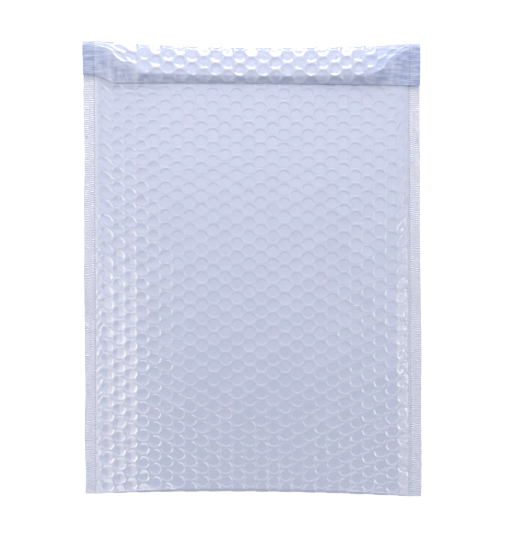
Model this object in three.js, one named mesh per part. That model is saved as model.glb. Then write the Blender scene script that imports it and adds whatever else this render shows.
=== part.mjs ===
// A padded envelope, empty and lying on its back with its flap folded shut over the mouth.
// One sheet of film and air bubbles makes the whole of it: front wall, bottom fold, back wall, top fold
// and flap, pressed flat and welded along both sides. Under the flap are the adhesive strip and its liner.
// Millimetres, +X to the right, +Y towards the flap, +Z up. The origin is under the middle of the outline.

import * as THREE from 'three';

// Outline
const width = 290;
const length = 390;
const sealWidth = 10;
const flapReach = 36;
const topFoldDip = 4.3;
const bottomFoldDip = 3.2;

// Laminate
const padding = 3.2;
const film = 0.4;
const dishDepth = 0.6;
const foldDishDepth = 0.3;
const bubbleColumns = 26;
const bubblePitch = 11.65;
const shoulder = 12;

// Pocket between the two walls
const pocketEdge = 0.2;
const pocketSwell = 2.8;
const mouthSwell = 0.15;
const mouthSetback = 1.5;

// Flap
const flapTaper = 15;
const flapGap = 0.3;
const stripRoom = 1.4;
const pressedShare = 0.3;
const pressedPadding = 0.15;

// Adhesive strip and liner, as half lengths, lower and upper edges, and thicknesses
const strip = { reach: 118, low: 168, high: 180, thickness: 0.4 };
const liner = { reach: 120, low: 167, high: 181.5, thickness: 0.2 };

// Sizes that follow from these
const half = width / 2;
const pocketHalf = half - sealWidth;
const freeEdgeY = length / 2 - flapReach;
const columnPitch = (2 * pocketHalf) / bubbleColumns;

// Cross lines of the coarse inner faces, and the shares of each stretch at which they bend
const innerLines = [0, 60, 120, 130, pocketHalf];
const wallShares = [0, 0.08, 0.24, 0.6, 0.84, 1];
const foldShares = [0, 0.5, 1];
const roundShares = [0, 0.25, 0.5, 0.75, 1];
const flapShares = [0, 0.35, 0.7, 1];

const clamp = (value) => Math.min(1, Math.max(0, value));
const rise = (share) => Math.sin((Math.PI / 2) * clamp(share));
const ease = (share) => clamp(share) ** 2 * (3 - 2 * clamp(share));

// Heights of the padded sheet at a place in the outline

function wallThickness(x) {
  return film + (padding - film) * rise((pocketHalf - Math.abs(x)) / shoulder);
}

function pocketGap(x, share) {
  const across = 1 - clamp(Math.abs(x) / pocketHalf) ** 2;
  const fromMouth = mouthSwell + (1 - mouthSwell) * rise(share / 0.35);
  const toFold = rise((1 - share) / 0.4);
  return pocketEdge + pocketSwell * across * Math.min(fromMouth, toFold);
}

function frontHeight(x, share) {
  return 2 * wallThickness(x) + pocketGap(x, share);
}

function flapThickness(x, share) {
  const paddedHalf = pocketHalf - flapTaper * share;
  const pressed = 1 - (1 - pressedPadding) * ease((share - 1 + pressedShare) / pressedShare);
  return film + (padding - film) * rise((paddedHalf - Math.abs(x)) / shoulder) * pressed;
}

function flapClearance(x, share) {
  const across = rise((pocketHalf - Math.abs(x)) / shoulder);
  return flapGap + stripRoom * across * (1 - ease((share - 1 + pressedShare) / pressedShare));
}

// Lines that the sheet turns at

function bulge(x, power) {
  return 1 - clamp(Math.abs(x) / pocketHalf) ** power;
}

function bottomRadius(x) {
  return frontHeight(x, 1) / 2;
}

function bottomAxisY(x) {
  return -length / 2 + bottomFoldDip * bulge(x, 2) + bottomRadius(x);
}

function topRadius(x) {
  return (frontHeight(x, 0) + flapClearance(x, 0) + flapThickness(x, 0)) / 2;
}

function topAxisY(x) {
  return length / 2 - topFoldDip * bulge(x, 2.2) - topRadius(x);
}

function mouthY(x) {
  return topAxisY(x) - mouthSetback;
}

function frontShare(x, y) {
  return clamp((mouthY(x) - y) / (mouthY(x) - bottomAxisY(x)));
}

function flapInner(x, y) {
  const share = clamp((topAxisY(x) - y) / (topAxisY(x) - freeEdgeY));
  return frontHeight(x, frontShare(x, y)) + flapClearance(x, share);
}

const between = (from, to, share) => from + (to - from) * share;

// The stretches of the sheet, from the mouth down the front, round and up the back, over and down the flap.
// Each gives its thickness, the depth of the dish in the film over a bubble where the sheet is fully padded,
// and the place of a point at a share of its length and a depth under its outer face.
const front = {
  length: mouthY(0) - bottomAxisY(0),
  shares: wallShares,
  dish: dishDepth,
  thickness: (x) => wallThickness(x),
  place: (x, share, depth) => [x, between(mouthY(x), bottomAxisY(x), share), frontHeight(x, share) - depth],
};

const bottomFold = {
  length: Math.PI * bottomRadius(0),
  shares: foldShares,
  dish: foldDishDepth,
  thickness: (x) => wallThickness(x),
  place(x, share, depth) {
    const radius = bottomRadius(x) - depth;
    const angle = Math.PI * share;
    return [x, bottomAxisY(x) - radius * Math.sin(angle), bottomRadius(x) + radius * Math.cos(angle)];
  },
};

const back = {
  length: front.length,
  shares: wallShares.map((share) => 1 - share).reverse(),
  dish: dishDepth,
  thickness: (x) => wallThickness(x),
  place: (x, share, depth) => [x, between(bottomAxisY(x), mouthY(x), share), depth],
};

const neck = {
  length: mouthSetback,
  shares: [0, 1],
  dish: dishDepth,
  thickness: (x) => wallThickness(x),
  place: (x, share, depth) => [x, between(mouthY(x), topAxisY(x), share), depth],
};

const topFold = {
  length: Math.PI * topRadius(0),
  shares: roundShares,
  dish: foldDishDepth,
  thickness: (x) => flapThickness(x, 0),
  place(x, share, depth) {
    const radius = topRadius(x) - depth;
    const angle = Math.PI * share;
    return [x, topAxisY(x) + radius * Math.sin(angle), topRadius(x) - radius * Math.cos(angle)];
  },
};

const flap = {
  length: topAxisY(0) - freeEdgeY,
  shares: flapShares,
  dish: dishDepth,
  thickness: (x, share) => flapThickness(x, share),
  place(x, share, depth) {
    const y = between(topAxisY(x), freeEdgeY, share);
    return [x, y, flapInner(x, y) + flapThickness(x, share) - depth];
  },
};

const stretches = [front, bottomFold, back, neck, topFold, flap];
let sheetLength = 0;
for (const stretch of stretches) {
  stretch.start = sheetLength;
  sheetLength += stretch.length;
}

function sheetPoint(x, along, depthOf) {
  const stretch = stretches.findLast(({ start }) => along >= start - 1e-9);
  const share = (along - stretch.start) / stretch.length;
  return stretch.place(x, share, depthOf(stretch.thickness(x, share), stretch.dish));
}

function outerPoint(x, along) {
  return sheetPoint(x, along, () => 0);
}

function dishPoint(x, along) {
  return sheetPoint(x, along, (thickness, dish) => (dish * (thickness - film)) / (padding - film));
}

function innerPoint(x, along) {
  return sheetPoint(x, along, (thickness) => thickness);
}

// A closed surface, put together from lines of points that are zipped side to side
class Surface {
  constructor() {
    this.positions = [];
    this.triangles = [];
    this.known = new Map();
  }

  point(place) {
    const key = place.map((value) => value.toFixed(4)).join();
    if (!this.known.has(key)) {
      this.known.set(key, this.positions.length / 3);
      this.positions.push(...place);
    }
    return this.known.get(key);
  }

  triangle(a, b, c) {
    if (a !== b && b !== c && c !== a) this.triangles.push(a, b, c);
  }

  // Joins two lines of [measure, point] pairs that run the same way; seen from outside with the lines
  // running down, the first one is on the left
  zip(left, right) {
    let i = 0;
    let j = 0;
    while (i < left.length - 1 || j < right.length - 1) {
      const leftNext = i < left.length - 1 ? left[i + 1][0] : Infinity;
      const rightNext = j < right.length - 1 ? right[j + 1][0] : Infinity;
      if (leftNext <= rightNext) {
        this.triangle(left[i][1], left[i + 1][1], right[j][1]);
        i += 1;
      } else {
        this.triangle(left[i][1], right[j + 1][1], right[j][1]);
        j += 1;
      }
    }
  }

  // Closes the space between two stretches of line with a point in its middle
  fan(left, right, middle) {
    const around = [...left, ...right.toReversed()].map(([, point]) => point);
    around.forEach((point, i) => this.triangle(point, around[(i + 1) % around.length], middle));
  }

  geometry() {
    const geometry = new THREE.BufferGeometry();
    geometry.setAttribute('position', new THREE.Float32BufferAttribute(this.positions, 3));
    geometry.setIndex(this.triangles);
    geometry.computeVertexNormals();
    return geometry;
  }
}

// Measures along the sheet at which the plain lines bend, from one stretch to another
function stations(first, last) {
  const measures = [];
  for (const stretch of stretches.slice(stretches.indexOf(first), stretches.indexOf(last) + 1)) {
    measures.push(...stretch.shares.map((share) => stretch.start + share * stretch.length));
  }
  return [...new Set(measures.map((measure) => Number(measure.toFixed(6))))];
}

// The middle of a column of bubbles, and the middles of its bubbles along the sheet. Neighbouring columns are
// half a pitch apart, and one of them has a bubble on the crest of the bottom fold.
function columnX(column) {
  return (column + 0.5) * columnPitch - pocketHalf;
}

function bubblesOf(column) {
  const crest = bottomFold.start + bottomFold.length / 2 + (column % 2) * bubblePitch / 2;
  const first = crest - Math.floor((crest - bubblePitch / 2) / bubblePitch) * bubblePitch;
  const count = Math.floor((sheetLength - bubblePitch / 2 - first) / bubblePitch) + 1;
  return Array.from({ length: count }, (_, row) => first + row * bubblePitch);
}

// The line along which the cells of a column meet the next one on its right, from -1 on the left of the first
// column: it zigzags between the bubbles of two columns, and is straight beside the first and the last one
function cellEdgesBeside(column) {
  const measures = new Map();
  const third = columnPitch / 3;
  const isEdge = column < 0 || column === bubbleColumns - 1;
  const endX = column < 0 ? columnX(0) - third : columnX(column) + (isEdge ? third : columnPitch / 2);
  for (const [beside, side] of [[column, 1], [column + 1, -1]]) {
    if (beside < 0 || beside >= bubbleColumns) continue;
    for (const middle of bubblesOf(beside)) {
      for (const end of [-1, 1]) {
        const along = middle + end * bubblePitch / 2;
        measures.set(along.toFixed(3), [along, columnX(beside) + side * third]);
      }
      if (!isEdge) measures.set(middle.toFixed(3), [middle, columnX(beside) + side * 2 * third]);
    }
  }
  for (const along of [0, sheetLength]) measures.set(along.toFixed(3), [along, endX]);
  return [...measures.values()].sort((a, b) => a[0] - b[0]);
}

// The envelope: outer face, inner face and everything that closes them at the sides, mouth and free edge
function envelope() {
  const surface = new Surface();
  const line = (x, measures, point) => measures.map((along) => [along, surface.point(point(x, along))]);
  const reversed = (pairs) => pairs.map(([measure, point]) => [-measure, point]).reverse();
  const plain = stations(front, flap);
  const open = stations(neck, flap);

  // Outer face of the padding, one column of bubbles after another, each with a dish in its cell
  const edges = [];
  for (let column = -1; column < bubbleColumns; column += 1) {
    edges.push(cellEdgesBeside(column).map(([along, x]) => [along, surface.point(outerPoint(x, along)), x]));
  }
  for (let column = 0; column < bubbleColumns; column += 1) {
    const [left, right] = [edges[column], edges[column + 1]];
    const cut = (pairs, from, to) => pairs.filter(([along]) => along > from - 0.01 && along < to + 0.01);
    const middles = bubblesOf(column);
    const firstEnd = middles[0] - bubblePitch / 2;
    const lastEnd = middles[middles.length - 1] + bubblePitch / 2;
    surface.zip(cut(left, 0, firstEnd), cut(right, 0, firstEnd));
    for (const middle of middles) {
      const [from, to] = [middle - bubblePitch / 2, middle + bubblePitch / 2];
      const dish = surface.point(dishPoint(columnX(column), middle));
      surface.fan(cut(left, from, to), cut(right, from, to), dish);
    }
    surface.zip(cut(left, lastEnd, sheetLength), cut(right, lastEnd, sheetLength));
  }

  // Outer face of the seals
  const sealLines = [-half, -pocketHalf, pocketHalf, half].map((x) => [x, line(x, plain, outerPoint)]);
  const paddedLines = edges.map((pairs) => [pairs[0][2], pairs]);
  const outer = [...sealLines.slice(0, 2), ...paddedLines, ...sealLines.slice(2)];
  for (const i of [1, 2, outer.length - 2, outer.length - 1]) surface.zip(outer[i - 1][1], outer[i][1]);

  // Inner face, which ends at the seals inside the pocket and reaches across them from the mouth on
  const across = [...innerLines.slice(1).map((x) => -x).reverse(), ...innerLines];
  const inner = across.map((x) => [x, line(x, plain, innerPoint)]);
  for (let i = 1; i < inner.length; i += 1) surface.zip(inner[i][1], inner[i - 1][1]);
  const openPart = (x) => line(x, open, innerPoint);
  surface.zip(openPart(-pocketHalf), openPart(-half));
  surface.zip(openPart(half), openPart(pocketHalf));

  // Ends of the sheet: the front wall's edge at the mouth and the flap's free edge
  const ends = (lines, pick) => lines.map(([x, pairs]) => [x, pick(pairs)[1]]);
  const first = (pairs) => pairs[0];
  const last = (pairs) => pairs[pairs.length - 1];
  surface.zip(ends(outer, first).slice(1, -1), ends(inner, first));
  const flapInside = [[-half, openPart(-half)], ...inner, [half, openPart(half)]];
  surface.zip(ends(flapInside, last), ends(outer, last));

  for (const side of [-1, 1]) {
    const zipSide = (a, b) => (side > 0 ? surface.zip(a, b) : surface.zip(b, a));
    const at = (x, measures, point) => line(side * x, measures, point);
    const down = stations(front, front);
    const round = stations(bottomFold, bottomFold).slice(0, 2);
    const up = stations(bottomFold, back).slice(1);

    // Blind end of the pocket against the seal
    zipSide(reversed(at(pocketHalf, up, innerPoint)), at(pocketHalf, [...down, round[1]], innerPoint));

    // Cut side of the seal, first where both walls are welded, then where the back wall is alone
    const step = [-1, surface.point(innerPoint(side * half, open[0]))];
    const frontSide = [step, ...at(half, [...down, round[1]], outerPoint)];
    zipSide(frontSide, reversed(at(half, up, outerPoint)));
    zipSide(at(half, open, outerPoint), at(half, open, innerPoint));

    // Step at the mouth, from the welded walls down to the back wall alone
    const top = [pocketHalf, half].map((x) => [x, surface.point(outerPoint(side * x, 0))]);
    const low = [pocketHalf, half].map((x) => [x, surface.point(innerPoint(side * x, open[0]))]);
    const pocketRoof = [0, surface.point(innerPoint(side * pocketHalf, 0))];
    zipSide([pocketRoof, ...top], low);
  }
  return surface.geometry();
}

// A thin band that follows the flap's inner face at a distance
function bandUnderFlap({ reach, low, high, thickness }, distance) {
  const surface = new Surface();
  const xs = [-reach, -60, 0, 60, reach];
  const ys = [high, between(high, low, 0.5), low];
  const line = (x, depth) => ys.map((y) => [-y, surface.point([x, y, flapInner(x, y) - depth])]);
  const top = xs.map((x) => line(x, distance));
  const bottom = xs.map((x) => line(x, distance + thickness));
  for (let i = 1; i < xs.length; i += 1) {
    surface.zip(top[i - 1], top[i]);
    surface.zip(bottom[i], bottom[i - 1]);
  }
  surface.zip(bottom[0], top[0]);
  surface.zip(top[xs.length - 1], bottom[xs.length - 1]);
  const edge = (lines, pick) => lines.map((pairs, i) => [xs[i], pairs[pick][1]]);
  surface.zip(edge(top, 0), edge(bottom, 0));
  surface.zip(edge(bottom, ys.length - 1), edge(top, ys.length - 1));
  return surface.geometry();
}

function piece(name, geometry, color, roughness) {
  const material = new THREE.MeshStandardMaterial({ color, roughness, metalness: 0, flatShading: true });
  const mesh = new THREE.Mesh(geometry, material);
  mesh.name = name;
  return mesh;
}

const part = new THREE.Group();
part.add(piece('envelope', envelope(), 0xc3c9e1, 0.3));
part.add(piece('adhesive_strip', bandUnderFlap(strip, flapGap), 0xd9d6c6, 0.35));
part.add(piece('release_liner', bandUnderFlap(liner, 2 * flapGap + strip.thickness), 0xe6e6e2, 0.45));

export default part;
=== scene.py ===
# A padded envelope of pearlescent film over air bubbles. It is empty and lies on its back with its flap
# folded shut. The front wall, back wall, flap and two welds below stand for the one CAD solid of the sheet
# and keep its sizes. Lengths are in millimetres until a mesh is made, and in metres from there on.

import bpy
import numpy as np
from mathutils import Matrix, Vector
from mathutils.geometry import delaunay_2d_cdt


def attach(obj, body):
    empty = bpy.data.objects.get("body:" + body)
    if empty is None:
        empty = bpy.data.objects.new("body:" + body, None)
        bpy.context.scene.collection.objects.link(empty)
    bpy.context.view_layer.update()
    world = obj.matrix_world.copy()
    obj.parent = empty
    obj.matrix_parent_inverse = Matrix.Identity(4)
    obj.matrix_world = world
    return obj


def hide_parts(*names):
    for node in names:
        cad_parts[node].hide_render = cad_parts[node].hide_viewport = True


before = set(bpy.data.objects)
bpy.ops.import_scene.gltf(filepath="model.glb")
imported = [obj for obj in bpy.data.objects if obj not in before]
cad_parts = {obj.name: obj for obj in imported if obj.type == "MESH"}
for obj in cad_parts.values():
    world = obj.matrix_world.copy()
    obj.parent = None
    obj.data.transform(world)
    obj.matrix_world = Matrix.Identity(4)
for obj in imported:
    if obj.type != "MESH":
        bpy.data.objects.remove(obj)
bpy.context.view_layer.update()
chance = np.random.default_rng(11)

# Outline
LENGTH = 390.0
HALF = 145.0
WELD_WIDTH = 10.0
POCKET_HALF = HALF - WELD_WIDTH
FREE_EDGE_Y = 159.0
LEFT_EDGE_RISE = 7.0
TOP_DIP = 4.3
BOTTOM_DIP = 3.2
SKEW = 0.0065

# Laminate: thickness with its bubbles and without, and the deepest dent as a share of the thickness
PADDING = 3.2
FILM = 0.4
DEEPEST_DENT = 0.7

# Slope of the padded front at distances from the weld: the left shoulder is broad, the right one is narrow
LEFT_SLOPES = (
    (0, 0.13), (12, 0.138), (34, 0.165), (42, 0.09), (54, 0.055), (74, 0.03), (100, 0.006), (135, 0.0),
)
RIGHT_SLOPES = (
    (0, 1.0), (1.2, 0.6), (2, 0.2), (7, 0.18), (10, 0.11), (14, 0.08), (40, 0.045), (80, 0.025),
    (135, 0.01),
)

# Bubbles: a hexagonal lattice, and the dish that each leaves in the outer film
COLUMNS = 26
COLUMN_PITCH = 10.19
FIRST_COLUMN_X = -125.1
ROW_PITCH = 11.65
DISH_RADIUS = 5.6
EDGE_STEPS = 3

# Rings of a dish from its rim to its middle: share of its radius, depth, depth where the film is taut, and
# how far it leans with the floor
BODY_RINGS = (
    (1.0, 0.0, 0.0, 0.0), (0.92, 0.13, 0.13, 0.4), (0.82, 0.24, 0.25, 0.9), (0.72, 0.29, 0.27, 1.0),
    (0.4, 0.41, 0.285, 1.0), (0.0, 0.45, 0.29, 1.0),
)
FLAP_RINGS = (
    (1.0, 0.0, 0.0, 0.0), (0.79, 0.42, 0.42, 0.5), (0.56, 0.78, 0.78, 1.0), (0.34, 0.86, 0.86, 1.0),
    (0.0, 0.88, 0.88, 1.0),
)

# Steepest lean of the floor of a dish, and how each dish may differ from the others
BODY_SLACK = 0.012
FLAP_SLACK = 0.03
RADIUS_SPREAD = (0.97, 1.01)
FULLNESS_SPREAD = (0.75, 1.2)

# Points of the film between the bubbles and the edges of a piece
BESIDE_LEFT_WELD_X = (-133.6, -132.2, -130.8, -129.4)
BEHIND_MOUTH_S = (1.4, 3.2, 5.0)
SPARE_ROOM = 0.6

# Pocket between the walls: its gap at the welds, its swell, and the share of that at the mouth and the fold
POCKET_EDGE = 0.2
POCKET_SWELL = 2.8
MOUTH_SWELL = 0.15
FOLD_SWELL = 0.4
SWELL_RUN = 0.35

# Top fold, in the middle and at its ends: half its height, the rise of the flap's ridge over it, how far
# its round reaches over the envelope, and how far from it the mouth lies
TOP_RADII = (5.95, 4.4)
RIDGE_RISES = (6.3, 3.2)
TOP_REACHES = (25.5, 4.3)
MOUTH_DISTANCES = (12.7, 4.0)
SINK_START = 118.0
ROUND_TO_REACH = 1.08

# Flap: how its padding narrows and is pressed towards the free edge, and the room for the strip under it
FLAP_TAPER = 15.0
FLAP_SHOULDER = 12.0
FLAP_SHIFT = 3.0
FLAP_GAP = 0.3
STRIP_ROOM = 1.4
STRIP_START_Y = 166.0
STRIP_END_Y = 182.0
STRIP_SHARE = 0.03
PRESSED_SHARE = 0.3
PRESSED_PADDING = 0.06
EDGE_REST_SHARE = 0.06
EDGE_GAP = 0.12

# Welds: shares of their width that have points, the step along them, and their ribs and broken line
WELD_STATIONS = (0, 0.035, 0.07, 0.105, 0.16, 0.3, 0.42, 0.52, 0.66, 0.8, 0.92, 1.0)
WELD_STEP = 0.36
WELD_WAVE = 0.12
RIB_PITCH = 1.8
RIB_DEPTH = 0.34
GROOVE_DEPTH = 0.3
DASH_PITCH = 2.4
TABLE_GAP = 0.02

# Share of the unevenness that the flattened back has, and the least bend in degrees that shades as an edge
BACK_UNEVENNESS = 0.3
SHARP_BEND = 48

PI = np.pi


def clamp(value):
    return np.clip(value, 0.0, 1.0)


def rise(share):
    return np.sin(PI / 2 * clamp(share))


def ease(share):
    share = clamp(share)
    return share * share * (3 - 2 * share)


def between(start, end, share):
    return start + (end - start) * share


def bell(distance, width):
    return np.exp(-(distance / width) ** 2)


def from_weld(x):
    """Distance inwards from the nearer weld."""
    return POCKET_HALF - np.abs(x)


def near_weld(x):
    """One beside a weld, and nothing beyond about 10 mm from it."""
    return bell(from_weld(x), 5.0)


def ripple(x, s, wavelength, seed):
    """Smooth irregular unevenness between about -1 and 1, as a sum of waves in seeded directions."""
    draws = np.random.default_rng(seed)
    waves = 7
    total = 0
    for _ in range(waves):
        angle, phase = draws.uniform(0, 2 * PI, 2)
        length = wavelength * draws.uniform(0.7, 1.5)
        total = total + np.sin((x * np.cos(angle) + s * np.sin(angle)) * 2 * PI / length + phase)
    return total / np.sqrt(waves)


# Heights of the sheet


def risen(inwards, slopes):
    """Share of the whole rise that the slopes have made at a distance from the weld."""
    at = np.linspace(0, POCKET_HALF, round(2 * POCKET_HALF) + 1)
    slope = np.interp(at, *zip(*slopes))
    height = np.concatenate([[0], np.cumsum((slope[1:] + slope[:-1]) / 2)])
    return np.interp(inwards, at, height / height[-1])


def shoulder(x):
    """Share of the full padding at a place across the envelope."""
    inwards = from_weld(x)
    return np.where(np.asarray(x) < 0, risen(inwards, LEFT_SLOPES), risen(inwards, RIGHT_SLOPES))


def wall_thickness(x):
    return FILM + (PADDING - FILM) * shoulder(x)


def pocket_gap(x, share):
    across = shoulder(x)
    from_mouth = MOUTH_SWELL + (1 - MOUTH_SWELL) * rise(share / SWELL_RUN)
    to_fold = FOLD_SWELL + (1 - FOLD_SWELL) * rise((1 - share) / SWELL_RUN)
    return POCKET_EDGE + POCKET_SWELL * across * np.minimum(from_mouth, to_fold)


def front_height(x, share):
    return 2 * wall_thickness(x) + pocket_gap(x, share)


def flap_padding(x, share):
    padded_half = POCKET_HALF - FLAP_TAPER * share
    pressed_and_painted_shade = 1 - (1 - PRESSED_PADDING) * ease((share - 1 + PRESSED_SHARE) / PRESSED_SHARE)
    return rise((padded_half - np.abs(x)) / FLAP_SHOULDER) * pressed_and_painted_shade


def bulge(x, power):
    return 1 - clamp(np.abs(x) / POCKET_HALF) ** power


def bottom_radius(x):
    return front_height(x, 1.0) / 2


def bottom_axis_y(x):
    return -LENGTH / 2 + BOTTOM_DIP * bulge(x, 2) + bottom_radius(x)


def towards_end(x):
    """Share of the way from where the top fold begins to sink to the outer edge of the welds."""
    return clamp((np.abs(x) - SINK_START) / (HALF - SINK_START))


def top_radius(x):
    """Half the height of the top fold, which stands up even over the welds."""
    return between(*TOP_RADII, towards_end(x))


def top_y(x):
    return LENGTH / 2 - TOP_DIP * bulge(x, 2.2)


def ridge_rise(x):
    """Height of the flap's ridge over the crest of the top fold."""
    return between(*RIDGE_RISES, towards_end(x))


def top_reach(x):
    """How far the round of the top fold reaches over the envelope, to the ridge of the flap."""
    from_left = ease((x + 137) / 47)
    from_right = ease((139 - x) / 38)
    in_middle, at_ends = TOP_REACHES
    return between(at_ends, in_middle, np.minimum(from_left, from_right))


def mouth_y(x):
    return top_y(x) - between(*MOUTH_DISTANCES, ease((np.abs(x) - 120) / 15))


def free_edge_y(x):
    return FREE_EDGE_Y + LEFT_EDGE_RISE * ease((-x - 116) / 20)


def edge_height(x):
    """Height of the flap's outer face at its free edge, which rests on the front and spans shoulders."""
    spanning = between(3.4, front_height(0.0, EDGE_REST_SHARE), rise(from_weld(x) / 60))
    return np.maximum(front_height(x, EDGE_REST_SHARE), spanning) + EDGE_GAP + flap_thickness(x, 1.0)


def flap_outer(x, share):
    """Height of the flap's outer face from its ridge down to its free edge."""
    return between(top_radius(x) + ridge_rise(x), edge_height(x), share ** 1.3)


def flap_thickness(x, share):
    return FILM + (PADDING - FILM) * flap_padding(x, share)


# Tilt of the flap from the crest of its fold to its ridge, in degrees, at shares of the way along the film
CREST_TILTS = (
    (0, 90), (0.03, 62), (0.07, 42), (0.13, 28), (0.22, 21), (0.35, 16), (0.5, 12), (0.9, 9), (1, 1),
)


def crest_profile():
    """Shares of the reach and the rise that the flap has made on its way to the ridge, and their rates."""
    share = np.linspace(0, 1, 241)
    tilt = np.radians(np.interp(share, *zip(*CREST_TILTS)))
    middle = (tilt[1:] + tilt[:-1]) / 2
    reach = np.concatenate([[0], np.cumsum(np.cos(middle))])
    climb = np.concatenate([[0], np.cumsum(np.sin(middle))])
    reach, climb = reach / reach[-1], climb / climb[-1]
    return share, reach, climb, np.gradient(reach, share), np.gradient(climb, share)


CREST_PROFILE = crest_profile()

# Lengths along the sheet at which its stretches end, measured at the middle of the envelope: the front wall
# from the mouth, the bottom fold, the back wall with the neck beyond the mouth, the top fold and the flap
FRONT_END = float(mouth_y(0.0) - bottom_axis_y(0.0))
BOTTOM_END = FRONT_END + PI * float(bottom_radius(0.0))
BACK_END = BOTTOM_END + float(top_y(0.0) - top_radius(0.0) - bottom_axis_y(0.0))
CREST_TOP = BACK_END + PI / 2 * float(top_radius(0.0))
FOLD_END = CREST_TOP + ROUND_TO_REACH * float(top_reach(0.0))
SHEET_END = FOLD_END + float(top_y(0.0) - top_reach(0.0) - FREE_EDGE_Y)


def thickness_at(x, s):
    on_flap = clamp((s - FOLD_END) / (SHEET_END - FOLD_END))
    return np.where(s < BACK_END, wall_thickness(x), flap_thickness(x, on_flap))


def place(x, s, depth):
    """Position of points at a depth under the outer face of the sheet."""
    x, s, depth = np.broadcast_arrays(*(np.asarray(value, float) for value in (x, s, depth)))
    x = x + FLAP_SHIFT * ease((s - BACK_END) / 12) * bulge(x, 6)
    y, z = np.empty(x.shape), np.empty(x.shape)

    on = s < FRONT_END
    share = s[on] / FRONT_END
    y[on] = between(mouth_y(x[on]), bottom_axis_y(x[on]), share)
    z[on] = front_height(x[on], share) - depth[on]

    on = (s >= FRONT_END) & (s < BOTTOM_END)
    angle = PI * (s[on] - FRONT_END) / (BOTTOM_END - FRONT_END)
    radius = bottom_radius(x[on])
    y[on] = bottom_axis_y(x[on]) - (radius - depth[on]) * np.sin(angle)
    z[on] = radius + (radius - depth[on]) * np.cos(angle)

    on = (s >= BOTTOM_END) & (s < BACK_END)
    share = (s[on] - BOTTOM_END) / (BACK_END - BOTTOM_END)
    y[on] = between(bottom_axis_y(x[on]), top_y(x[on]) - top_radius(x[on]), share)
    z[on] = depth[on]

    on = (s >= BACK_END) & (s < CREST_TOP)
    angle = PI / 2 * (s[on] - BACK_END) / (CREST_TOP - BACK_END)
    radius = top_radius(x[on])
    y[on] = top_y(x[on]) - radius + (radius - depth[on]) * np.sin(angle)
    z[on] = radius - (radius - depth[on]) * np.cos(angle)

    on = (s >= CREST_TOP) & (s < FOLD_END)
    share = (s[on] - CREST_TOP) / (FOLD_END - CREST_TOP)
    at, reached, climbed, reaching, climbing = CREST_PROFILE
    reach, tall = top_reach(x[on]), ridge_rise(x[on])
    run, climb = reach * np.interp(share, at, reaching), tall * np.interp(share, at, climbing)
    slant = np.hypot(run, climb)
    y[on] = top_y(x[on]) - reach * np.interp(share, at, reached) - depth[on] * climb / slant
    z[on] = top_radius(x[on]) + tall * np.interp(share, at, climbed) - depth[on] * run / slant

    on = s >= FOLD_END
    share = (s[on] - FOLD_END) / (SHEET_END - FOLD_END)
    y[on] = between(top_y(x[on]) - top_reach(x[on]), free_edge_y(x[on]), share)
    z[on] = flap_outer(x[on], share) - depth[on]
    return np.stack([x, y, z], axis=-1)


def place_inside(x, s):
    """Position of points on the inner face, which leaves room for the strip and liner under the flap."""
    points = place(x, s, thickness_at(x, s))
    room = front_height(x, STRIP_SHARE) + FLAP_GAP + STRIP_ROOM * shoulder(x)
    under = (s > CREST_TOP) & (points[:, 1] < STRIP_END_Y) & (points[:, 1] > STRIP_START_Y)
    points[under, 2] = np.maximum(points[under, 2], room[under])
    resting = ease((s - SHEET_END + 5) / 4)
    points[..., 2] = between(points[..., 2], front_height(x, EDGE_REST_SHARE) + EDGE_GAP / 2, resting)
    return points


def on_table(points):
    """The points, lifted where they would lie under the table."""
    points[..., 2] = np.maximum(points[..., 2], TABLE_GAP)
    return points


# The bubble lattice. It has a bubble on the crest of the bottom fold, from which its rows are counted. On
# the back it is stretched a little, so that the free edge of the flap falls between two rows.
CREST = (FRONT_END + BOTTOM_END) / 2
ROWS_BEHIND = round((SHEET_END - CREST) / ROW_PITCH - 0.5)
BACK_PITCH = (SHEET_END - CREST) / (ROWS_BEHIND + 0.5)
BACK_ROWS = int((BACK_END - CREST - 6) / BACK_PITCH)
FRONT_ROWS = -int((CREST - ROW_PITCH / 2 - 1) / ROW_PITCH)
FLAT_HALF = COLUMN_PITCH / 3
POINT_HALF = 2 * COLUMN_PITCH / 3

# The last column is squeezed on its right by the weld
LAST_POINT_HALF = 4.95
LAST_SQUEEZE = 0.84


def row_s(row):
    """Place along the sheet of a row. In odd columns the rows lie half a row further on."""
    return CREST + row * (BACK_PITCH if row > 0 else ROW_PITCH)


def column_x(column):
    return FIRST_COLUMN_X + column * COLUMN_PITCH


def finely(line):
    """A line with each of its sides cut into the same number of steps as a side of a cell."""
    fine = [line[0]]
    for (x0, s0), (x1, s1) in zip(line, line[1:]):
        for step in range(1, EDGE_STEPS + 1):
            share = step / EDGE_STEPS
            fine.append((between(x0, x1, share), between(s0, s1, share)))
    return fine


def round_cell(row, right_half, is_half):
    """Offsets of the points round a cell from its middle, or round the half that lies before its middle."""
    before, after = row_s(row) - row_s(row - 0.5), row_s(row + 0.5) - row_s(row)
    corners = [(right_half, 0), (FLAT_HALF, -before), (-FLAT_HALF, -before), (-POINT_HALF, 0)]
    if is_half:
        return finely(corners)
    return finely(corners + [(-FLAT_HALF, after), (FLAT_HALF, after), (right_half, 0)])[:-1]


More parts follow.
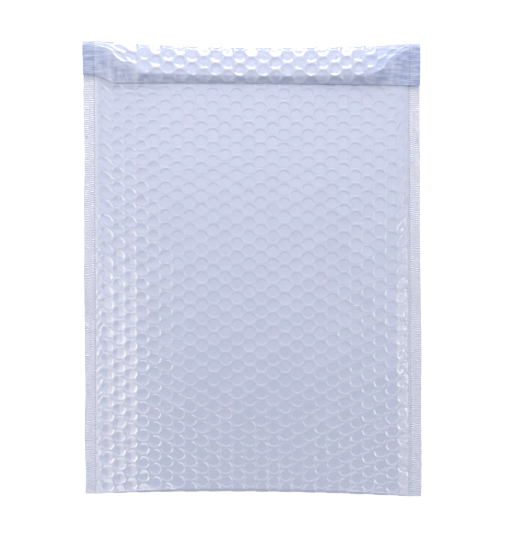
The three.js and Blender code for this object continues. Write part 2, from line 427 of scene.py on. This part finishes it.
class Cells:
    """The hexagonal cells of some rows of bubbles, as points on the sheet and triangles between them.

    Each point keeps its depth, its depth where the film is taut, its share of the dish and a tint.
    """

    def __init__(self, rings, slack):
        self.rings, self.slack = rings, slack
        self.x, self.s, self.depth, self.taut, self.dish, self.tint = [], [], [], [], [], []
        self.triangles, self.rims = [], []
        self.known = {}

    def point(self, x, s, depth=0.0, taut=0.0, dish=0.0, tint=0.5):
        key = (round(x, 3), round(s, 3))
        if key not in self.known:
            self.known[key] = len(self.x)
            kept = (self.x, self.s, self.depth, self.taut, self.dish, self.tint)
            for values, value in zip(kept, (x, s, depth, taut, dish, tint)):
                values.append(value)
        return self.known[key]

    def line(self, numbers):
        return np.array(self.x)[numbers], np.array(self.s)[numbers]

    def band(self, outer, inner, is_closed):
        count = len(outer)
        for i in range(count if is_closed else count - 1):
            j = (i + 1) % count
            self.triangles += [(outer[i], outer[j], inner[j]), (outer[i], inner[j], inner[i])]

    def cell(self, column, row, is_half=False):
        """Adds the film round one bubble and the rings of its dish, a little unlike those of the others."""
        centre_x, centre_s = column_x(column), row_s(row)
        is_last = column == COLUMNS - 1
        offsets = round_cell(row, LAST_POINT_HALF if is_last else POINT_HALF, is_half)
        tint = chance.uniform()
        radius = DISH_RADIUS * chance.uniform(*RADIUS_SPREAD)
        fullness = chance.uniform(*FULLNESS_SPREAD)
        lean_x, lean_s = chance.uniform(-self.slack, self.slack, 2)
        angles = [np.arctan2(ds, dx) for dx, ds in offsets]
        last = [self.point(centre_x + dx, centre_s + ds) for dx, ds in offsets]
        for share, fall, taut_fall, held in self.rings[:-1]:
            ring = []
            for angle in angles:
                dx, ds = radius * share * np.cos(angle), radius * share * np.sin(angle)
                if is_last and dx > 0:
                    dx *= LAST_SQUEEZE
                leaning = (dx * lean_x + ds * lean_s) * held
                depth, taut = fullness * fall + leaning, fullness * taut_fall + leaning
                ring.append(self.point(centre_x + dx, centre_s + ds, depth, taut, held, tint))
            self.band(last, ring, not is_half)
            if held == 0:
                self.rims += list(zip(ring, ring[1:] + ([] if is_half else ring[:1])))
            last = ring
        _, fall, taut_fall, _ = self.rings[-1]
        middle = self.point(centre_x, centre_s, fullness * fall, fullness * taut_fall, 1.0, tint)
        count = len(last)
        for i in range(count - 1 if is_half else count):
            self.triangles.append((last[i], last[(i + 1) % count], middle))

    def border(self):
        """The points round the cells, in order."""
        following = {}
        for a, b, c in self.triangles:
            for edge in ((a, b), (b, c), (c, a)):
                following[edge] = following.get(edge, 0) + 1
        after = {a: b for a, b in following if (b, a) not in following}
        start = next(iter(after))
        loop = [start]
        while after[loop[-1]] != start:
            loop.append(after[loop[-1]])
        return loop


def inside(loop_x, loop_s, x, s):
    """Whether points lie inside a closed line."""
    result = np.zeros(len(x), bool)
    for x0, s0, x1, s1 in zip(loop_x, loop_s, np.roll(loop_x, -1), np.roll(loop_s, -1)):
        if s0 == s1:
            continue
        crosses = (s0 > s) != (s1 > s)
        result ^= crosses & (x < x0 + (s - s0) * (x1 - x0) / (s1 - s0))
    return result


def triangulate(points, loops, spare):
    """Triangles over the area inside the first loop and outside the others."""
    edges = [(a, b) for loop in loops for a, b in zip(loop, loop[1:] + loop[:1])]
    used = sorted({i for loop in loops for i in loop} | set(spare))
    number = {point: i for i, point in enumerate(used)}
    flat = [Vector((points[0][i], points[1][i])) for i in used]
    links = list({tuple(sorted((number[a], number[b]))) for a, b in edges})
    _, _, faces, origins, _, _ = delaunay_2d_cdt(flat, links, [], 0, 1e-5)
    faces = np.array([[used[origins[i][0]] for i in face] for face in faces])
    x, s = np.array(points[0]), np.array(points[1])
    middle_x, middle_s = x[faces].mean(axis=1), s[faces].mean(axis=1)
    keep = inside(x[loops[0]], s[loops[0]], middle_x, middle_s)
    for loop in loops[1:]:
        keep &= ~inside(x[loop], s[loop], middle_x, middle_s)
    faces = faces[keep]
    turn = ((x[faces[:, 1]] - x[faces[:, 0]]) * (s[faces[:, 2]] - s[faces[:, 0]])
            - (x[faces[:, 2]] - x[faces[:, 0]]) * (s[faces[:, 1]] - s[faces[:, 0]]))
    faces[turn < 0] = faces[turn < 0][:, ::-1]
    return [tuple(face) for face in faces.tolist()]


def span(start, end, step):
    """Places from a start to an end, in either direction, about a step apart."""
    return np.linspace(start, end, max(1, round(abs(end - start) / step)) + 1).tolist()


def stepped_edge(row):
    """The line from weld to weld between a row of cells and the next one."""
    line = []
    for column in range(COLUMNS):
        end = row_s(row + (0.5 if column % 2 == 0 else 1.0))
        line += [(column_x(column) - FLAT_HALF, end), (column_x(column) + FLAT_HALF, end)]
    return finely([(-POCKET_HALF, line[0][1])] + line + [(POCKET_HALF, line[-1][1])])


def free_edge(cells):
    """The free edge of the flap, through the points of the cells that lie on it."""
    on_edge = {round(x, 3): x for x, s in zip(cells.x, cells.s) if abs(s - SHEET_END) < 1e-6}
    inner = [on_edge[key] for key in sorted(on_edge)]
    return [(x, SHEET_END) for x in [-POCKET_HALF, -POCKET_HALF + 2.4] + inner + [POCKET_HALF]]


def outline(cells, first_row, last_row, starts_straight, ends_straight):
    """The closed line round a patch, from its top left corner down the left side, along, up and back."""
    if starts_straight:
        start = [(x, 0.0) for x in span(-POCKET_HALF, POCKET_HALF, 2)]
    else:
        start = stepped_edge(first_row - 1)
    end = free_edge(cells) if ends_straight else stepped_edge(last_row)
    left = [(-POCKET_HALF, s) for s in span(start[0][1], end[0][1], 1.6)]
    right = [(POCKET_HALF, s) for s in span(end[-1][1], start[-1][1], 1.6)]
    loop = left[:-1] + end[:-1] + right[:-1] + start[::-1][:-1]
    return [cells.point(x, s) for x, s in loop]


def unevenness(x, s):
    """Slack and tension in the film: broad waves, crushed folds along the welds and creases in the flap."""
    broad = 0.06 * ripple(x, s, 34, 3) + 0.02 * ripple(x, s, 9, 4)
    fine = 0.008 * ripple(x, s, 4.2, 5)
    crushed = near_weld(x) * (0.27 * ripple(x + 0.4 * s, s, 4.6, 6) + 0.14 * ripple(x, s, 2.6, 7))
    along = place(x, s, 0.0)[..., 1]
    creases = 0.14 * ripple(0.4 * x, along, 5, 8) + 0.05 * ripple(x, along, 3, 9)
    fine = fine + ease((s - CREST_TOP) / 6) * 0.03 * ripple(x, s, 3.2, 10)
    fine = fine + ease((s - FOLD_END + 3) / 3) * creases
    held = ease(from_weld(x) / 1.5)
    on_back = (s > BOTTOM_END) & (s < BACK_END)
    return (broad * ease(from_weld(x) / 14) + fine + crushed) * held * np.where(on_back, BACK_UNEVENNESS, 1.0)


def skew(points):
    """The slight slant of the real outline: its corners are not quite square."""
    x, y, z = points[..., 0], points[..., 1], points[..., 2]
    return np.stack([x - SKEW * y, y - SKEW * x, z], axis=-1)


def sharpen(mesh, rims):
    """Makes the edges between pairs of points sharp, besides those that are sharp already."""
    ends = np.empty(2 * len(mesh.edges), np.int32)
    mesh.edges.foreach_get("vertices", ends)
    ends = np.sort(ends.reshape(-1, 2), axis=1)
    rim_ends = np.sort(np.array(rims), axis=1)
    sharp = np.empty(len(mesh.edges), bool)
    mesh.edges.foreach_get("use_edge_sharp", sharp)
    number = (len(mesh.vertices), 1)
    sharp |= np.isin(ends @ number, rim_ends @ number)
    mesh.edges.foreach_set("use_edge_sharp", sharp)


def make_object(name, points, faces, marks, normals=None, rims=()):
    mesh = bpy.data.meshes.new(name)
    mesh.from_pydata((skew(points) / 1000).tolist(), [], faces)
    for key, values in marks.items():
        layer = mesh.attributes.new(key, "FLOAT", "POINT")
        layer.data.foreach_set("value", np.asarray(values, np.float32))
    mesh.polygons.foreach_set("use_smooth", [True] * len(mesh.polygons))
    mesh.set_sharp_from_angle(angle=np.radians(SHARP_BEND))
    if rims:
        sharpen(mesh, rims)
    mesh.validate()
    mesh.update()
    if normals is None:
        normals = np.empty(3 * len(mesh.vertices), np.float32)
        mesh.vertex_normals.foreach_get("vector", normals)
    layer = mesh.attributes.new("sheet_normal", "FLOAT_VECTOR", "POINT")
    layer.data.foreach_set("vector", np.asarray(normals, np.float32).ravel())
    piece = bpy.data.objects.new(name, mesh)
    bpy.context.scene.collection.objects.link(piece)
    return piece


def sheet_normals(x, s):
    """Normals of the sheet without its dishes and wrinkles."""
    step = 0.6
    across = place(x + step, s, 0.0) - place(x - step, s, 0.0)
    along = place(x, s + step, 0.0) - place(x, s - step, 0.0)
    normals = np.cross(along, across)
    return normals / np.linalg.norm(normals, axis=1)[:, None]


def film_between(cells, border, loop, has_mouth):
    """Points in the film between the cells and the edges of a piece, which stay clear of both."""
    border_x, border_s = cells.line(border)
    loop_x, loop_s = cells.line(loop)
    along = np.arange(loop_s.min() + 1.2, loop_s.max() - 1, 1.35)
    grid = [(x, s) for s in along for x in BESIDE_LEFT_WELD_X]
    if has_mouth:
        grid += [(x, s) for x in np.arange(-132, 133, 2.4) for s in BEHIND_MOUTH_S]
    grid = np.array(grid)
    clear = inside(loop_x, loop_s, *grid.T) & ~inside(border_x, border_s, *grid.T)
    spare = []
    for x, s in grid[clear].tolist():
        to_cells = np.min(np.hypot(border_x - x, border_s - s))
        to_edge = np.min(np.hypot(loop_x - x, loop_s - s))
        if min(to_cells, to_edge) > SPARE_ROOM:
            spare.append(cells.point(x, s))
    return spare


def inner_face(cells, loop):
    """The inner face of a piece, inside the same closed line: places of its points and its triangles."""
    loop_x, loop_s = cells.line(loop)
    along = np.arange(loop_s.min() + 4, loop_s.max() - 3, 9)
    grid = np.array([(x, s) for x in np.arange(-128.0, 129, 8) for s in along])
    clear = inside(loop_x, loop_s, *grid.T)
    x = np.concatenate([loop_x, grid[clear, 0]])
    s = np.concatenate([loop_s, grid[clear, 1]])
    return x, s, triangulate((x, s), [list(range(len(loop)))], range(len(loop), len(x)))


def film_depth(cells, x, s):
    """Depth of the outer film under the smooth sheet. It is stretched over the middle of the front."""
    share = s / FRONT_END
    along_front = ease((share - 0.12) / 0.25) * ease((0.95 - share) / 0.3)
    stretched = ease((85 - np.abs(x)) / 40) * along_front
    fullness = ease(from_weld(x) / 6) * (1 - 0.5 * stretched)
    taut = ease((x + 98) / 25)
    depth = between(np.array(cells.depth), np.array(cells.taut), taut) * fullness - unevenness(x, s)
    return np.minimum(depth, DEEPEST_DENT * thickness_at(x, s))


def film_marks(cells, x, s):
    """Values that the film's material reads at each point."""
    at_ends = np.maximum(ease((x - 80) / 40), ease((-120 - x) / 14))
    on_fold = between(0.12, 0.95, at_ends) * ease((s - CREST_TOP) / 3)
    return {
        "dish": cells.dish,
        "tint": cells.tint,
        "crinkle": ease((s - CREST_TOP) / 6) + (s < FRONT_END) * near_weld(x),
        # Painted shade: a dark line along the top fold just past its crest
        "dark_line_and_painted_shade": 0.9 * bell(s - CREST_TOP - 2.4, 0.8),
        # Painted shade: darker streaky blue on the top fold past its crest and on the flap past its ridge,
        # strongest at the ends
        "pressed_and_painted_shade": between(on_fold, between(0.6, 1, at_ends), ease((s - FOLD_END + 1) / 3)),
    }


def patch(name, first_row, last_row, starts_straight=False, ends_straight=False):
    """A closed piece of padded sheet that covers some rows of bubbles."""
    cells = Cells(FLAP_RINGS, FLAP_SLACK) if ends_straight else Cells(BODY_RINGS, BODY_SLACK)
    for column in range(COLUMNS):
        shift = 0 if column % 2 == 0 else 0.5
        for row in range(first_row, last_row + 1):
            cells.cell(column, row + shift, is_half=ends_straight and shift > 0 and row == last_row)
    border = cells.border()
    loop = outline(cells, first_row, last_row, starts_straight, ends_straight)
    spare = film_between(cells, border, loop, starts_straight)
    faces = cells.triangles + triangulate((cells.x, cells.s), [loop, border], spare)
    x, s = np.array(cells.x), np.array(cells.s)
    outer = on_table(place(x, s, film_depth(cells, x, s)))

    inner_x, inner_s, inner_faces = inner_face(cells, loop)
    inner = place_inside(inner_x, inner_s)
    base = len(outer)
    faces += [(base + c, base + b, base + a) for a, b, c in inner_faces]
    under = {point: base + i for i, point in enumerate(loop)}
    faces += [(b, a, under[a], under[b]) for a, b in zip(loop, loop[1:] + loop[:1])]

    blank = np.zeros(len(inner))
    marks = {key: np.concatenate([values, blank]) for key, values in film_marks(cells, x, s).items()}
    normals = np.concatenate([sheet_normals(x, s), -sheet_normals(inner_x, inner_s)])
    return make_object(name, np.concatenate([outer, inner]), faces, marks, normals, cells.rims)


def ribs(length, across):
    """Height of the fine ribs along a weld, in two columns out of step."""
    phase = 2 * PI * length / RIB_PITCH + 0.9 * PI * ease((across - 0.42) / 0.1)
    strength = 0.75 + 0.35 * ripple(length, 9 * across, 9, 22)
    return RIB_DEPTH * strength * np.sin(phase + 0.8 * ripple(length, 0, 30, 21))


def relief(across):
    """Share of the ribs' height at a place across a weld."""
    return ease((across - 0.1) / 0.06) * ease((1 - across) / 0.06)


def groove(length, across):
    """Depth of the broken line that the welding bar leaves along the inner edge."""
    dashes = 0.55 + 0.45 * np.sin(2 * PI * length / DASH_PITCH + 2 * ripple(length, 0, 12, 23))
    return GROOVE_DEPTH * dashes * bell(across - 0.07, 0.045)


def weld_body(inner_x):
    """Places along a weld from the bottom fold to the mouth, and half its thickness at each."""
    axis = float(bottom_axis_y(inner_x))
    radius = float(bottom_radius(inner_x))
    mouth = float(mouth_y(inner_x))
    tip = np.linspace(0.15, PI / 2, 6)
    y = np.concatenate([axis - radius * np.cos(tip), np.arange(axis, mouth, WELD_STEP)[1:], [mouth]])
    half_thickness = np.concatenate([radius * np.sin(tip), np.full(len(y) - len(tip), radius)])
    return y, half_thickness


def weld_beyond(inner_x):
    """Lengths along the sheet at which the back layer of a weld has points beyond the mouth."""
    stretches = ((BACK_END, CREST_TOP, 14), (CREST_TOP, FOLD_END, 40), (FOLD_END, SHEET_END, 70))
    s = np.concatenate([np.linspace(start, end, count)[1:] for start, end, count in stretches])
    past_mouth = place(inner_x, s, 0.0)[:, 1] > float(mouth_y(inner_x)) + 0.2
    return s[np.argmax(past_mouth):]


def weld_column(x, side, body, beyond):
    """One line of points along a weld: those in front or inside, those behind or outside, and their marks."""
    inner_x = side * POCKET_HALF
    across = (x - inner_x) / (side * WELD_WIDTH)
    y, half_thickness = body
    middle = float(bottom_radius(inner_x))
    xs = np.full_like(y, x)
    wave = WELD_WAVE * ripple(xs, y, 26, 31) * ease(across)
    height = ribs(y + 0.25 * (x - inner_x) * ripple(y, 0, 70, 33), across) + wave
    front_z = middle + half_thickness + height * relief(across) - groove(y, across)
    back_z = middle - half_thickness + np.maximum(0, ribs(y + RIB_PITCH / 2, across)) * relief(across) * 0.5
    front = np.stack([xs, y, front_z], axis=-1)
    back = on_table(np.stack([xs, y, back_z], axis=-1))

    xs = np.full_like(beyond, x)
    smooth = place(xs, beyond, 0.0)
    length = np.concatenate([[0], np.cumsum(np.linalg.norm(np.diff(smooth, axis=0), axis=1))])
    crumple = 0.5 * ripple(xs, length, 5.5, 51) * bell(beyond - CREST_TOP, 4.5) * ease(across / 0.2)
    depth = groove(length, across) - ribs(length, across) * relief(across) - crumple
    outer = on_table(place(xs, beyond, np.minimum(depth, DEEPEST_DENT * FILM)))
    inner = place(xs, beyond, FILM)
    # A dark broken line along the groove: partly the melted film's own colour, partly painted shade in the
    # groove
    dark_line_and_painted_shade = np.concatenate([groove(y, across), groove(length, across)]) / GROOVE_DEPTH
    # Painted shade on the weld's back layer where it runs on over the top fold and onto the flap
    pressed_and_painted_shade = np.concatenate([0 * y, 0.95 * ease((beyond - CREST_TOP - 2) / 4)])
    return np.concatenate([front, inner]), np.concatenate([back, outer]), dark_line_and_painted_shade, pressed_and_painted_shade


def strip_faces(rows, count):
    """Faces of a closed strip whose points lie in rows, first all on one side, then all on the other."""
    base = rows * count
    faces = []
    for k in range(rows - 1):
        for i in range(count - 1):
            a, b = k * count + i, k * count + i + 1
            c, d = b + count, a + count
            faces.append((a, b, c, d))
            faces.append((base + d, base + c, base + b, base + a))
        for i, turn in ((0, 1), (count - 1, -1)):
            a, d = k * count + i, (k + 1) * count + i
            faces.append((a, d, base + d, base + a)[::turn])
    for k, turn in ((0, -1), (rows - 1, 1)):
        for i in range(count - 1):
            a, b = k * count + i, k * count + i + 1
            faces.append((a, b, base + b, base + a)[::turn])
    return faces


def weld(name, side):
    """A welded side: both walls fused into one ribbed strip, whose back layer goes on over the fold and there
    carries painted shade.
    """
    inner_x = side * POCKET_HALF
    body = weld_body(inner_x)
    beyond = weld_beyond(inner_x)
    stations = inner_x + side * WELD_WIDTH * np.array(WELD_STATIONS)
    columns = [weld_column(x, side, body, beyond) for x in stations]
    firsts, seconds, dark_line_and_painted_shade, pressed_and_painted_shade = (np.stack(values, axis=1) for values in zip(*columns))

    # The outer edge of a real weld wavers a little
    y = firsts[..., 1]
    drift = 0.35 * ripple(y, 0, 60, 41 + side) + 0.1 * ripple(y, 0, 7, 43 + side)
    outwards = ((stations - inner_x) / (side * WELD_WIDTH)) ** 2
    for points in (firsts, seconds):
        points[..., 0] += side * drift * outwards
    faces = strip_faces(len(firsts), len(stations))
    if side < 0:
        faces = [face[::-1] for face in faces]
    points = np.concatenate([firsts.reshape(-1, 3), seconds.reshape(-1, 3)])
    marks = {"dark_line_and_painted_shade": np.tile(dark_line_and_painted_shade.ravel(), 2), "pressed_and_painted_shade": np.tile(pressed_and_painted_shade.ravel(), 2)}
    return make_object(name, points, faces, marks)


# Materials


def node(tree, kind, **settings):
    made = tree.nodes.new(kind)
    for key, value in settings.items():
        setattr(made, key, value)
    return made


def feed(tree, socket, source):
    """Links a socket to the output of a node, or sets it to a constant."""
    if isinstance(source, bpy.types.NodeSocket):
        tree.links.new(source, socket)
    else:
        socket.default_value = source


def mark(tree, name, output="Fac"):
    """A value that the mesh keeps under a name for each of its points."""
    return node(tree, "ShaderNodeAttribute", attribute_name=name).outputs[output]


def noise(tree, vector, scale, detail):
    made = node(tree, "ShaderNodeTexNoise")
    made.inputs["Scale"].default_value = scale
    made.inputs["Detail"].default_value = detail
    tree.links.new(vector, made.inputs["Vector"])
    return made.outputs["Fac"]


def mapped(tree, value, from_range, to_range):
    made = node(tree, "ShaderNodeMapRange")
    for key, limit in zip(("From Min", "From Max", "To Min", "To Max"), from_range + to_range):
        made.inputs[key].default_value = limit
    tree.links.new(value, made.inputs["Value"])
    return made.outputs["Result"]


def mixed(tree, factor, first, second, kind="RGBA"):
    made = node(tree, "ShaderNodeMix", data_type=kind)
    for key, source in (("Factor", factor), ("A", first), ("B", second)):
        feed(tree, made.inputs[key], source)
    return made.outputs["Result"]


def colours_along(tree, value, stops):
    """A colour that follows a value through stops, each a position and a colour."""
    made = node(tree, "ShaderNodeValToRGB")
    elements = made.color_ramp.elements
    for element, (position, colour) in ((elements[1], stops[-1]), (elements[0], stops[0])):
        element.position = position
        element.color = colour
    for position, colour in stops[1:-1]:
        elements.new(position).color = colour
    tree.links.new(value, made.inputs["Fac"])
    return made.outputs["Color"]


def bump(tree, height, strength, distance):
    made = node(tree, "ShaderNodeBump")
    feed(tree, made.inputs["Strength"], strength)
    made.inputs["Distance"].default_value = distance
    tree.links.new(height, made.inputs["Height"])
    return made.outputs["Normal"]


def new_material(name):
    material = bpy.data.materials.new(name)
    material.use_nodes = True
    tree = material.node_tree
    return material, tree, tree.nodes["Principled BSDF"]


def weld_colours(tree, position, body):
    """The colour of the body, and whiter welds whose paling towards the top is painted light."""
    split = node(tree, "ShaderNodeSeparateXYZ")
    tree.links.new(position, split.inputs["Vector"])
    from_middle = node(tree, "ShaderNodeMath", operation="ABSOLUTE")
    tree.links.new(split.outputs["X"], from_middle.inputs[0])
    on_weld = mapped(tree, from_middle.outputs["Value"], (0.132, 0.136), (0, 1))
    # Painted light: the weld colour is paler towards the top and darker towards the bottom
    towards_top = mapped(tree, split.outputs["Y"], (-0.19, 0.19), (0, 1))
    weld_colour = mixed(tree, towards_top, (0.635, 0.678, 0.87, 1), (0.77, 0.8, 0.95, 1))
    return mixed(tree, on_weld, body, weld_colour)


def film_colours(tree, position):
    """Lilac, with a pearl tint from bubble to bubble, painted shade in streaky darker blue on the flap and
    the fold's ends, and a dark line of painted shade along the fold's crest and in the welds' grooves, where
    the melted film is darker too.
    """
    tints = colours_along(tree, mark(tree, "tint"), (
        (0.0, (0.574, 0.64, 0.845, 1)), (0.3, (0.587, 0.635, 0.855, 1)),
        (0.6, (0.587, 0.638, 0.86, 1)), (1.0, (0.602, 0.632, 0.85, 1)),
    ))
    clouds = colours_along(tree, noise(tree, position, 38, 3), (
        (0.35, (0.578, 0.627, 0.84, 1)), (0.68, (0.6, 0.648, 0.866, 1)),
    ))
    body = mixed(tree, mark(tree, "dish"), clouds, tints)
    whole = weld_colours(tree, position, body)
    drawn_out = node(tree, "ShaderNodeVectorMath", operation="MULTIPLY")
    drawn_out.inputs[1].default_value = (90, 420, 150)
    tree.links.new(position, drawn_out.inputs[0])
    # The streaky darker blue of the painted shade
    painted_shade_streaks = colours_along(tree, noise(tree, drawn_out.outputs["Vector"], 1, 3), (
        (0.36, (0.38, 0.46, 0.77, 1)), (0.66, (0.64, 0.71, 0.94, 1)),
    ))
    with_painted_shade = mixed(tree, mark(tree, "pressed_and_painted_shade"), whole, painted_shade_streaks)
    # Dark line: painted shade along the fold's crest, and in the welds' grooves partly the melted film's own
    # colour
    return mixed(tree, mark(tree, "dark_line_and_painted_shade"), with_painted_shade, (0.3, 0.35, 0.52, 1))


def softened_normal(tree):
    """The normal of the pearly layer, in which scattered light softens the relief of the dishes."""
    facing = node(tree, "ShaderNodeNewGeometry").outputs["Normal"]
    softened = mixed(tree, 0.6, facing, mark(tree, "sheet_normal", "Vector"), "VECTOR")
    unit = node(tree, "ShaderNodeVectorMath", operation="NORMALIZE")
    tree.links.new(softened, unit.inputs[0])
    return unit.outputs["Vector"]


def film_material():
    """A pearly base under a smooth clear skin, with fine wrinkles."""
    material, tree, shader = new_material("pearl_film")
    position = node(tree, "ShaderNodeTexCoord").outputs["Object"]
    shader.inputs["Roughness"].default_value = 0.6
    shader.inputs["Specular IOR Level"].default_value = 0.2
    shader.inputs["Coat Roughness"].default_value = 0.04
    shader.inputs["Coat IOR"].default_value = 2.4
    # Where the painted shade lies the clear skin is thinned, which dims its reflection there too
    skin = mapped(tree, mark(tree, "pressed_and_painted_shade"), (0, 1), (1, 0.35))
    strength = mapped(tree, mark(tree, "crinkle"), (0, 1), (0.09, 0.9))
    wrinkles = bump(tree, noise(tree, position, 420, 4), strength, 0.00042)
    tree.links.new(film_colours(tree, position), shader.inputs["Base Color"])
    tree.links.new(skin, shader.inputs["Coat Weight"])
    tree.links.new(wrinkles, shader.inputs["Coat Normal"])
    tree.links.new(softened_normal(tree), shader.inputs["Normal"])
    return material


def plain_material(name, low, high, roughness, scale):
    material, tree, shader = new_material(name)
    grain = noise(tree, node(tree, "ShaderNodeTexCoord").outputs["Object"], scale, 5)
    shader.inputs["Roughness"].default_value = roughness
    tree.links.new(colours_along(tree, grain, ((0.3, low), (0.7, high))), shader.inputs["Base Color"])
    tree.links.new(bump(tree, grain, 0.2, 0.0002), shader.inputs["Normal"])
    return material


# Levels of the room's light by direction, from the bottom edge of the envelope to its top
ROOM_LEVELS = (
    (-0.9, 0.12), (-0.74, 0.3), (-0.6, 0.42), (-0.48, 0.56), (-0.36, 0.54), (-0.24, 0.38), (-0.14, 0.33),
    (0.08, 1.08), (0.2, 1.2), (0.28, 0.48), (0.36, 0.36), (0.5, 0.36), (0.6, 0.6), (0.7, 0.6), (0.8, 0.75),
)
BRIGHTEST = 1.5


def lay_floor():
    """A matt pale floor just under the envelope, which glows a little for the camera alone."""
    half, z = 3.0, -0.0005
    mesh = bpy.data.meshes.new("floor")
    corners = [(-half, -half, z), (half, -half, z), (half, half, z), (-half, half, z)]
    mesh.from_pydata(corners, [], [(0, 1, 2, 3)])
    floor = bpy.data.objects.new("floor", mesh)
    bpy.context.scene.collection.objects.link(floor)
    material, tree, shader = new_material("floor")
    shader.inputs["Base Color"].default_value = (0.9, 0.9, 0.9, 1)
    shader.inputs["Roughness"].default_value = 1.0
    shader.inputs["Specular IOR Level"].default_value = 0.0
    shader.inputs["Emission Color"].default_value = (1, 1, 1, 1)
    glow = node(tree, "ShaderNodeMath", operation="MULTIPLY")
    glow.inputs[1].default_value = 0.45
    tree.links.new(node(tree, "ShaderNodeLightPath").outputs["Is Camera Ray"], glow.inputs[0])
    tree.links.new(glow.outputs["Value"], shader.inputs["Emission Strength"])
    mesh.materials.append(material)


def light_room():
    """A room whose walls are lighter and darker in bands, as the film reflects them."""
    world = bpy.data.worlds.new("studio")
    bpy.context.scene.world = world
    world.use_nodes = True
    tree = world.node_tree
    background = tree.nodes["Background"]
    background.inputs["Color"].default_value = (0.93, 0.95, 1.0, 1)
    split = node(tree, "ShaderNodeSeparateXYZ")
    tree.links.new(node(tree, "ShaderNodeTexCoord").outputs["Generated"], split.inputs["Vector"])
    along = mapped(tree, split.outputs["Y"], (-1, 1), (0, 1))
    level = colours_along(tree, along, [
        ((towards_top + 1) / 2, (strength / BRIGHTEST,) * 3 + (1,)) for towards_top, strength in ROOM_LEVELS
    ])
    room = node(tree, "ShaderNodeMath", operation="MULTIPLY")
    room.inputs[1].default_value = BRIGHTEST
    tree.links.new(level, room.inputs[0])
    tree.links.new(room.outputs["Value"], background.inputs["Strength"])


def lamp(name, position, target, size, power, colour=(1, 1, 1)):
    data = bpy.data.lights.new(name, "AREA")
    data.shape = "RECTANGLE"
    data.size, data.size_y = size
    data.energy = power
    data.color = colour
    light = bpy.data.objects.new(name, data)
    light.location = position
    light.rotation_euler = (Vector(target) - Vector(position)).to_track_quat("-Z", "Y").to_euler()
    bpy.context.scene.collection.objects.link(light)


def lamp_above(name, x, y, size, power, colour):
    height = 0.6
    lamp(name, (x, y, height), (x, y, 0), size, power, colour)


def camera():
    data = bpy.data.cameras.new("camera")
    data.sensor_width = 36.0
    distance = 1.3
    view_height = 0.4662
    data.lens = data.sensor_width * distance / view_height
    eye = bpy.data.objects.new("camera", data)
    eye.location = (0.0022, -0.001, distance)
    eye.rotation_euler = (0, 0, 0.002)
    bpy.context.scene.collection.objects.link(eye)
    bpy.context.scene.camera = eye


camera()
bpy.context.scene.view_settings.view_transform = "Standard"
lay_floor()
light_room()
WARM = (1, 0.82, 0.6)
CREAM = (1, 0.93, 0.75)
lamp("low_light", (0.0, 0.68, 0.22), (0, 0.175, 0), (0.62, 0.34), 2.2, (1, 0.95, 0.88))
lamp("top_light", (0.0, 0.64, 0.95), (0, 0.1, 0), (1.2, 0.18), 1.0)
lamp("top_left_light", (-0.8, 0.42, 0.5), (0, 0.1, 0), (0.5, 0.5), 0.45)
lamp("top_right_light", (0.8, 0.42, 0.5), (0, 0.1, 0), (0.5, 0.5), 0.25)
for side, level, width in ((-1, 1.0, 0.38), (1, 0.75, 0.3)):
    lamp_above("facet_light", side * 0.4, -0.17, (0.14, 0.34), 0.12 * level, WARM)
    lamp_above("side_light", side * 0.66, -0.1, (width, 0.3), 0.73 * level, CREAM)
    lamp_above("corner_light", side * 0.36, -0.55, (0.42, 0.42), 0.78 * level ** 2, CREAM)

film = film_material()
pieces = [
    patch("front_wall", FRONT_ROWS, 0, starts_straight=True),
    patch("back_wall", 1, BACK_ROWS),
    patch("flap", BACK_ROWS + 1, ROWS_BEHIND, ends_straight=True),
    weld("left_weld", -1),
    weld("right_weld", 1),
]
for piece in pieces:
    piece.data.materials.append(film)
    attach(piece, "root")
    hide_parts("envelope")

for name, material in (
    ("adhesive_strip", plain_material("adhesive", (0.66, 0.64, 0.55, 1), (0.74, 0.72, 0.64, 1), 0.3, 300)),
    ("release_liner", plain_material("liner", (0.76, 0.76, 0.73, 1), (0.82, 0.82, 0.8, 1), 0.45, 900)),
):
    for slot in bpy.data.objects[name].material_slots:
        slot.material = material
